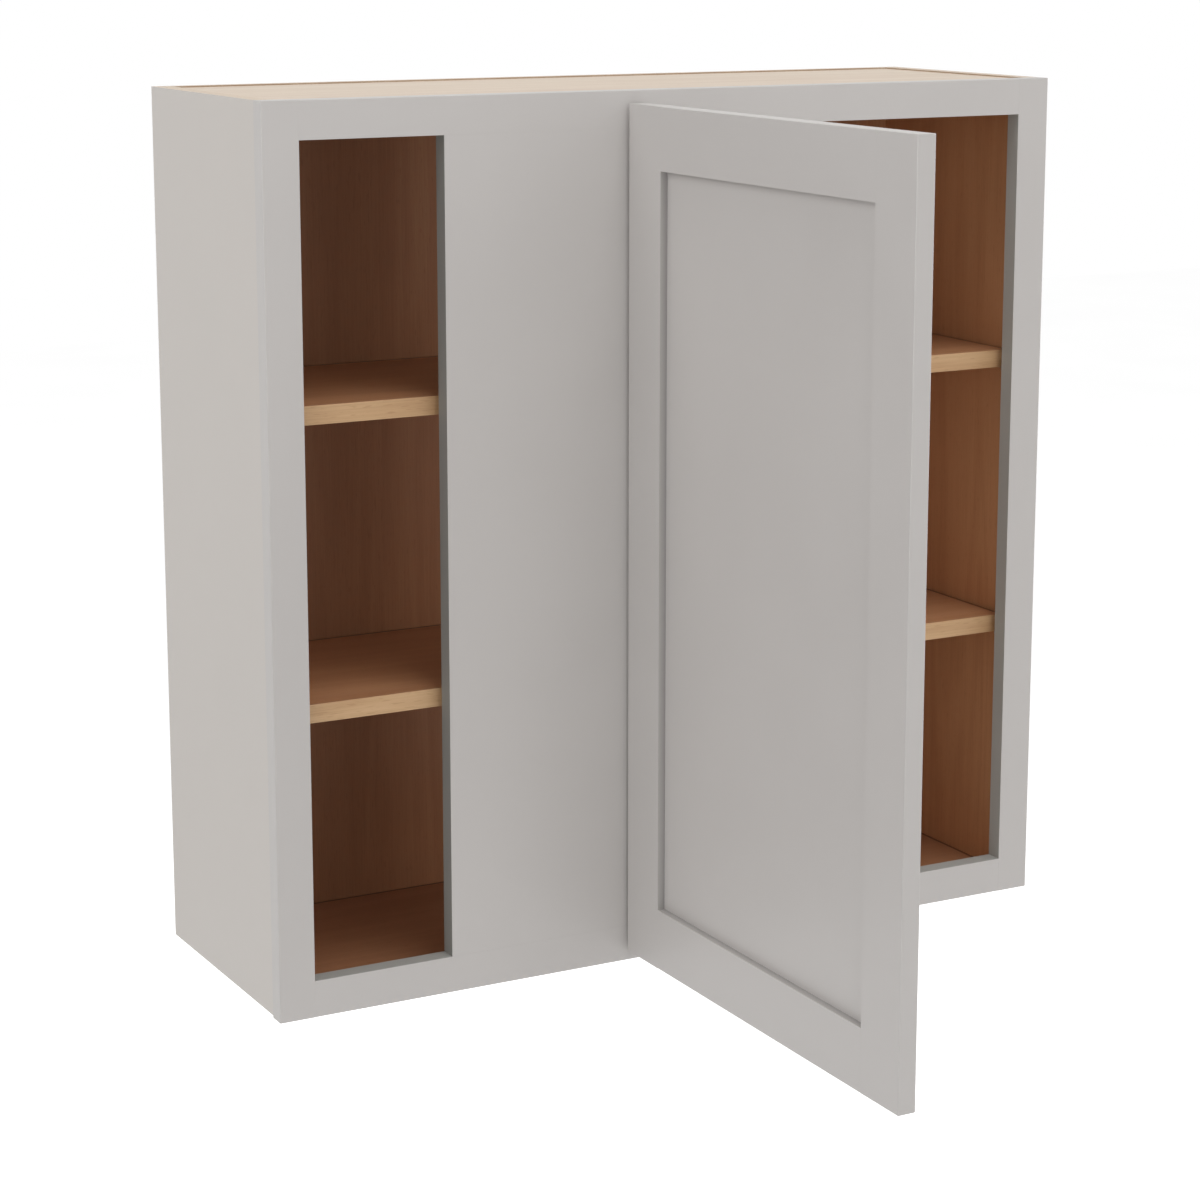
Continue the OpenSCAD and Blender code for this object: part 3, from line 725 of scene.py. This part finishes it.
def doorRail(name, node, panelSide):
    # Crosspiece between the stiles, grooved on the panel's side (-1 below, 1 above), with a tongue at each
    # end in the stiles' grooves
    low, high = nodeBox(node)
    bodyLow, bodyHigh = low[1] + door["tongueLength"], high[1] - door["tongueLength"]
    near, far = low[0] + door["groove"][0], low[0] + door["groove"][1]
    outer, recess, groove, back = doorEases
    if panelSide < 0:
        bottom = low[2] + door["grooveDepth"]
        corners = [(low[2], low[0]), (high[2], low[0]), (high[2], high[0]), (low[2], high[0]),
                   (low[2], far), (bottom, far), (bottom, near), (low[2], near)]
        radii = (recess, outer, outer, back, groove, groove, groove, groove)
        ledge = (low[2], (low[0] + near) / 2)
        tongueLow, tongueHigh = bottom, high[2]
    else:
        bottom = high[2] - door["grooveDepth"]
        corners = [(low[2], low[0]), (high[2], low[0]), (high[2], near), (bottom, near),
                   (bottom, far), (high[2], far), (high[2], high[0]), (low[2], high[0])]
        radii = (outer, recess, groove, groove, groove, groove, back, outer)
        ledge = (high[2], (low[0] + near) / 2)
        tongueLow, tongueHigh = low[2], bottom
    # The recess's ledge takes the second paint, painted shade
    body = sweptBoard(corners, radii, "y", bodyLow, bodyHigh, door["jointEaseMm"], [ledge])
    tongueNear, tongueFar = low[0] + door["tongue"][0], low[0] + door["tongue"][1]
    section = rectangle((tongueLow, tongueNear), (tongueHigh, tongueFar), 0, 1)
    overlap, ease = door["tongueOverlapMm"], door["tongueEaseMm"]
    tongues = [sweptBoard(section, groove, "y", low[1], bodyLow + overlap, ease),
               sweptBoard(section, groove, "y", bodyHigh - overlap, high[1], ease)]
    place(boardPiece(name, [greyPaint, ledgePaint], body, *tongues), "door", "painted_door", node)


def doorHingeStile():
    # Carries the cup bores, so it is the solid's own form, eased. The recess's ledge faces -Y
    node = "door_hinge_stile"
    low, _ = nodeBox(node)
    piece = easedCopy("doorHingeStile", node, door["hingeEaseMm"], [greyPaint, ledgePaint], "door",
                      "painted_door")
    mesh = piece.data
    centre = np.empty(len(mesh.polygons) * 3, np.float32)
    mesh.polygons.foreach_get("center", centre)
    centre = centre.reshape(-1, 3) / mm
    onLedge = np.abs(centre[:, 1] - low[1]) < door["onFaceMm"]
    ledge = onLedge & (centre[:, 0] < low[0] + door["groove"][0])
    # The ledge's faces take the second paint, painted shade
    mesh.polygons.foreach_set("material_index", ledge.astype(np.int32))


doorHingeStile()
doorStile("doorFreeStile", "door_free_stile")
doorRail("doorTopRail", "door_top_rail", -1)
doorRail("doorBottomRail", "door_bottom_rail", 1)
print("door frame made")


# Shelves' front bands

band = {
    "frontEaseMm": 0.35,  # the band's arrises are lightly sanded
    "backEaseMm": 0.05,
    "endEaseMm": 0.1,
}


def shelfBand(name, node, body):
    # Thin strip glued along the shelf's front edge: rectangle low..high carried along X
    low, high = nodeBox(node)
    front, back = band["frontEaseMm"], band["backEaseMm"]
    radii = (front, back, back, front)
    shell = sweptBoard(rectangle(low, high, 1, 2), radii, "x", low[0], high[0], band["endEaseMm"])
    place(boardPiece(name, [bandFinish], shell), body, "maple_band", node)


shelfBand("lowerShelfBand", "lower_shelf_band", "lower_shelf")
shelfBand("upperShelfBand", "upper_shelf_band", "upper_shelf")
print("shelf bands made")


# Pressed hinge arms and cups, shelf pins and screws

hinge = {
    "armEaseMm": 0.3,  # rolled edge of pressed sheet
    "cupEaseMm": 0.25,
    "pinEaseMm": 0.2,  # shelf pins
    "heights": (99.0, 810.2),  # of the cups' middles
}


pressedPieces = {
    # end of the name: end of the node's name, ease, body, slot
    "HingeArm": ("hinge_arm", hinge["armEaseMm"], "cabinet", "nickel_steel"),
    "HingeCup": ("hinge_cup", hinge["cupEaseMm"], "door", "nickel_steel"),
    "ShelfPins": ("shelf_pins", hinge["pinEaseMm"], "cabinet", "zinc_steel"),
}
for pieceEnd, (nodeEnd, easeMm, body, slot) in pressedPieces.items():
    for level in ("lower", "upper"):
        easedCopy(level + pieceEnd, level + "_" + nodeEnd, easeMm, [nickelFinish], body, slot)


def turnedShell(radius, height, centre):
    # Rings round a line along X: point = centre + (h, r cos a, r sin a), with r and h as arrays of ring by
    # angle. One point closes the first ring and one the last
    radius, height = np.broadcast_arrays(radius, height)
    rows, count = radius.shape
    angle = np.arange(count) * wholeTurn / count
    rings = np.stack([height, radius * np.cos(angle), radius * np.sin(angle)], axis=2).reshape(-1, 3)
    poles = np.array([[height[0].mean(), 0, 0], [height[-1].mean(), 0, 0]])
    points = (np.concatenate([rings, poles]) + np.asarray(centre)) * mm
    index = np.arange(rows * count).reshape(rows, count)
    nextIndex = np.roll(index, -1, axis=1)
    quads = np.stack([index[:-1], index[1:], nextIndex[1:], nextIndex[:-1]], axis=-1).reshape(-1, 4)
    top = np.stack([np.full(count, rows * count), index[0], nextIndex[0]], axis=-1)
    tip = np.stack([np.full(count, rows * count + 1), nextIndex[-1], index[-1]], axis=-1)
    faces = quads.tolist() + top.tolist() + tip.tolist()
    return points, faces, np.ones(len(faces), bool), np.zeros(len(faces), bool)


screw = {
    "headRadius": 3.5,
    "rimHeight": 0.9,
    "headHeight": 1.6,
    "crossReach": 2.0,  # of the driver recess, from the centre
    "crossHalfWidth": 0.55,
    "crossDepth": 1.0,
    "crossWallMm": (0.3, 0.4),  # slope of the recess's walls across an arm and at its end
    "crossTaper": 0.3,  # part of the depth lost at the end of an arm
    "rimRound": (0.1, 0.12),  # under the head's edge, in radius and in height
    "threadPitch": 1.8,
    "threadDepth": 0.5,
    "ridgeSharpness": 3,
    "taperPower": 0.7,
    "leastRadius": 0.02,
    "angles": 48,
    "headFrom": 0.05,  # angle of the first ring from the head's pole, in radians
    "headRows": 18,
    "shankFrom": 0.05,  # depth of the shank's first ring
    "rowsPerPitch": 8,
    # where the underside of a head sits, in X, and how far each screw is turned
    "arm": {"seatX": -36.3, "radius": 1.9, "length": 18.0, "spacing": 36, "turns": (0.3, 1.1, 0.7, 0.1)},
    "cup": {"seatX": -44.05, "radius": 1.6, "length": 13.0, "spacing": 45, "turns": (0.9, 0.2, 1.3, 0.5)},
}


def woodScrew(centre, radius, length, turn):
    # Head: r = R sin t, h = rim + (top - rim) cos t, less a cross whose depth is full where
    # min(|u|, |v|) is under its half width and max(|u|, |v|) under its reach.
    # Shank: r = core + depth * ridge, ridge = 1 - 3 |p - 1/2| where positive, p = the whole turns'
    # remainder of h / pitch - a / 360 degrees, narrowed to a point over the last two diameters
    angle = np.arange(screw["angles"]) * wholeTurn / screw["angles"]
    t = np.linspace(screw["headFrom"], pi / 2, screw["headRows"])[:, None]
    headRadius = screw["headRadius"] * np.sin(t) + 0 * angle
    headHeight = screw["rimHeight"] + (screw["headHeight"] - screw["rimHeight"]) * np.cos(t) + 0 * angle
    u = np.abs(headRadius * np.cos(angle + turn))
    v = np.abs(headRadius * np.sin(angle + turn))
    sideWall, endWall = screw["crossWallMm"]
    within = np.clip((screw["crossHalfWidth"] - np.minimum(u, v)) / sideWall + 0.5, 0, 1)
    within = within * np.clip((screw["crossReach"] - np.maximum(u, v)) / endWall + 0.5, 0, 1)
    crossShare = 1 - screw["crossTaper"] * headRadius / screw["crossReach"]
    headHeight = headHeight - screw["crossDepth"] * within * crossShare
    rimIn, rimUp = screw["rimRound"]
    rimRadius = np.array([screw["headRadius"], screw["headRadius"] - rimIn, radius])[:, None] + 0 * angle
    rimHeight = np.array([rimUp, 0.0, 0.0])[:, None] + 0 * angle
    rows = int(length / screw["threadPitch"] * screw["rowsPerPitch"])
    shankHeight = -np.linspace(screw["shankFrom"], length, rows)[:, None] + 0 * angle
    phase = (shankHeight / screw["threadPitch"] - angle / wholeTurn) % 1.0
    ridge = np.clip(1 - screw["ridgeSharpness"] * np.abs(phase - 0.5), 0, None)
    taper = np.clip((length + shankHeight) / (4 * radius), 0, 1) ** screw["taperPower"]
    shankRadius = (radius - screw["threadDepth"] * (1 - ridge)) * taper + screw["leastRadius"]
    ringRadius = np.concatenate([headRadius, rimRadius, shankRadius])
    ringHeight = np.concatenate([headHeight, rimHeight, shankHeight])
    return turnedShell(ringRadius, ringHeight, centre)


def screwSet(name, node, kind, body):
    # Two screws above one another at each hinge, on the line through the middle of the CAD node's own
    sizes = screw[kind]
    low, high = nodeBox(node)
    y = (low[1] + high[1]) / 2
    heights = [z + side * sizes["spacing"] / 2 for z in hinge["heights"] for side in (-1, 1)]
    parts = [woodScrew((sizes["seatX"], y, z), sizes["radius"], sizes["length"], turn)
             for z, turn in zip(heights, sizes["turns"])]
    place(boardPiece(name, [zincFinish], *parts), body, "zinc_steel", node)


screwSet("hingeArmScrews", "hinge_arm_screws", "arm", "cabinet")
screwSet("hingeCupScrews", "hinge_cup_screws", "cup", "door")
print("hinges and screws made")


# Bumper pads on the door's back

bumper = {
    "radius": 5.0,
    "height": 2.6,
    "domeMm": 0.7,  # how much the middle stands above the shoulder
    "shoulderMm": 0.8,  # roundness of the shoulder
    "poleMm": 0.3,  # radius of the first ring
    "domeRings": 10,
    "shoulderRings": 6,
    "angles": 48,
    "backX": -45.25,  # the door's back
}


def bumperPad(z, y):
    # Cast dome: h = H - dome (r / (R - s))^2 out to the shoulder, a round of radius s there, then the side
    flatRadius = bumper["radius"] - bumper["shoulderMm"]
    shoulder = bumper["height"] - bumper["domeMm"]
    r = np.linspace(bumper["poleMm"], flatRadius, bumper["domeRings"])
    t = np.linspace(0, pi / 2, bumper["shoulderRings"])[1:]
    ringRadius = np.concatenate([r, flatRadius + bumper["shoulderMm"] * np.sin(t), [bumper["radius"]]])
    ringHeight = np.concatenate([bumper["height"] - bumper["domeMm"] * (r / flatRadius) ** 2,
                                 shoulder - bumper["shoulderMm"] * (1 - np.cos(t)), [0.0]])
    around = np.zeros(bumper["angles"])
    centre = (bumper["backX"], y, z)
    return turnedShell(ringRadius[:, None] + around, ringHeight[:, None] + around, centre)


padLow, padHigh = nodeBox("door_bumpers")
padY = (padLow[1] + padHigh[1]) / 2
pads = [bumperPad(z, padY) for z in (padLow[2] + bumper["radius"], padHigh[2] - bumper["radius"])]
place(boardPiece("doorBumpers", [padFinish], *pads), "door", "clear_bumper", "door_bumpers")
print("bumper pads made")


# Carried-over CAD nodes and their finishes

nodeFinishes = {
    "left_side_panel": leftSideFinish,
    "right_side_panel": rightSideFinish,
    "top_panel": topFinish,
    "bottom_panel": bottomFinish,
    "back_panel": backFinish,
    "door_panel": greyPaint,
    "lower_shelf_board": shelfFinish,
    "upper_shelf_board": shelfFinish,
    "frame_dowels": beechFinish,
    "lower_hinge_pin": zincFinish,
    "upper_hinge_pin": zincFinish,
}

for nodeName, finish in nodeFinishes.items():
    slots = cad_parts[nodeName].data.materials
    slots.clear()
    slots.append(finish)
print("CAD nodes finished:", len(nodeFinishes))


# Studio

studio = {
    "floorZ": -1372,  # a wall cabinet hangs 54 inches above the floor
    "floorHalf": 14000,
    "floorTones": ("#E6E6E6", "#EAEAEA"),
    "floorCloudMm": 500,
    "floorCloudStops": (0.3, 0.7),
    "floorGlow": 0.68,  # what the camera sees added, up to white
    "white": "#FFFFFF",
    "worldStrength": 0.38,
}


def shownDirectly(tree):
    # 1 for what the camera sees straight, in a reflection or through a clear piece
    path = addNode(tree, "ShaderNodeLightPath").outputs
    seen = calculated(tree, "ADD", path["Is Camera Ray"], path["Is Glossy Ray"])
    return calculated(tree, "ADD", seen, path["Is Transmission Ray"])


def studioFloor():
    # Pale floor, white to the camera where the light is whole, so that only the soft shadow shows on it
    half, z = studio["floorHalf"] * mm, studio["floorZ"] * mm
    material, tree = newMaterial("paleFloor")
    cloud = cloudNoise(tree, objectCoords(tree), studio["floorCloudMm"], 2.0)
    colour = ramped(tree, cloud, studio["floorCloudStops"], studio["floorTones"])
    diffuse = addNode(tree, "ShaderNodeBsdfDiffuse", {"Color": colour})
    glow = addNode(tree, "ShaderNodeEmission", {"Color": linearColour(studio["white"]),
                                                "Strength": studio["floorGlow"]})
    shown = addNode(tree, "ShaderNodeMixShader", {0: shownDirectly(tree), 2: glow.outputs[0]})
    total = addNode(tree, "ShaderNodeAddShader", {0: diffuse.outputs[0], 1: shown.outputs[0]})
    addNode(tree, "ShaderNodeOutputMaterial", {"Surface": total.outputs[0]})
    points = np.array([[-half, -half, z], [half, -half, z], [half, half, z], [-half, half, z]])
    floor = newPiece("studioFloor", points, [[0, 1, 2, 3]], [material])


def studioWorld():
    # White to the camera and in reflections, and an even soft light for everything else
    world = bpy.data.worlds.new("studioWorld")
    bpy.context.scene.world = world
    world.use_nodes = True
    tree = world.node_tree
    tree.nodes.clear()
    strength = spread(tree, shownDirectly(tree), studio["worldStrength"], 1.0)
    background = addNode(tree, "ShaderNodeBackground", {"Color": linearColour(studio["white"]),
                                                        "Strength": strength})
    addNode(tree, "ShaderNodeOutputWorld", {"Surface": background.outputs[0]})


def lookAlong(direction):
    # Turns a lamp so that its -Z points along direction
    return Vector(direction).to_track_quat("-Z", "Y").to_euler()


def softBox(name, position, target, size, power):
    # Square area lamp that faces its target. Sizes and places in mm
    data = bpy.data.lights.new(name, "AREA")
    data.shape = "SQUARE"
    data.size = size * mm
    data.energy = power
    lamp = bpy.data.objects.new(name, data)
    bpy.context.scene.collection.objects.link(lamp)
    start, aim = np.array(position) * mm, np.array(target) * mm
    lamp.location = start
    lamp.rotation_euler = lookAlong(aim - start)


middle = (0, -200, 450)
lamps = {
    # name: place, target, side length in mm, power in watts
    "frontBox": ((0, -4700, 450), middle, 2400, 18),
    "frontHighBox": ((0, -3600, 3400), middle, 2400, 17),
    "steepFrontBox": ((0, -1700, 4700), middle, 1600, 50),  # lights the front strip of each shelf
    "leftFrontBox": ((-3300, -3400, 900), middle, 2400, 21),
    "leftBox": ((-4500, -150, 450), middle, 2400, 8),
    "leftHighBox": ((-3600, -150, 3200), middle, 2400, 49),
    "backBox": ((0, 4700, 300), middle, 2400, 24),
    "rightBox": ((4500, -150, 900), middle, 3600, 92),
    "rightFrontBox": ((2700, -2700, 3200), middle, 2400, 19),
    "overheadBox": ((0, -150, 4900), middle, 2400, 31),
}

studioFloor()
studioWorld()
for lampName, (position, target, size, power) in lamps.items():
    softBox(lampName, position, target, size, power)
print("studio made")


# Camera

view = {
    "location": (-1512.0, -2918.9, 1072.8),
    "yaw": 28.397,
    "pitch": 11.016,
    "lens": 89.003,
    "sensorWidth": 36,
    "shiftY": -0.08,
    "farEnd": 100,
}

cameraData = bpy.data.cameras.new("camera")
cameraData.sensor_width = view["sensorWidth"]
cameraData.lens = view["lens"]
cameraData.shift_y = view["shiftY"]
cameraData.clip_end = view["farEnd"]
camera = bpy.data.objects.new("camera", cameraData)
bpy.context.scene.collection.objects.link(camera)
camera.location = tuple(value * mm for value in view["location"])
camera.rotation_euler = (radians(90 - view["pitch"]), 0, radians(-view["yaw"]))
bpy.context.scene.camera = camera

bpy.context.scene.view_settings.view_transform = "Standard"
print("camera set")
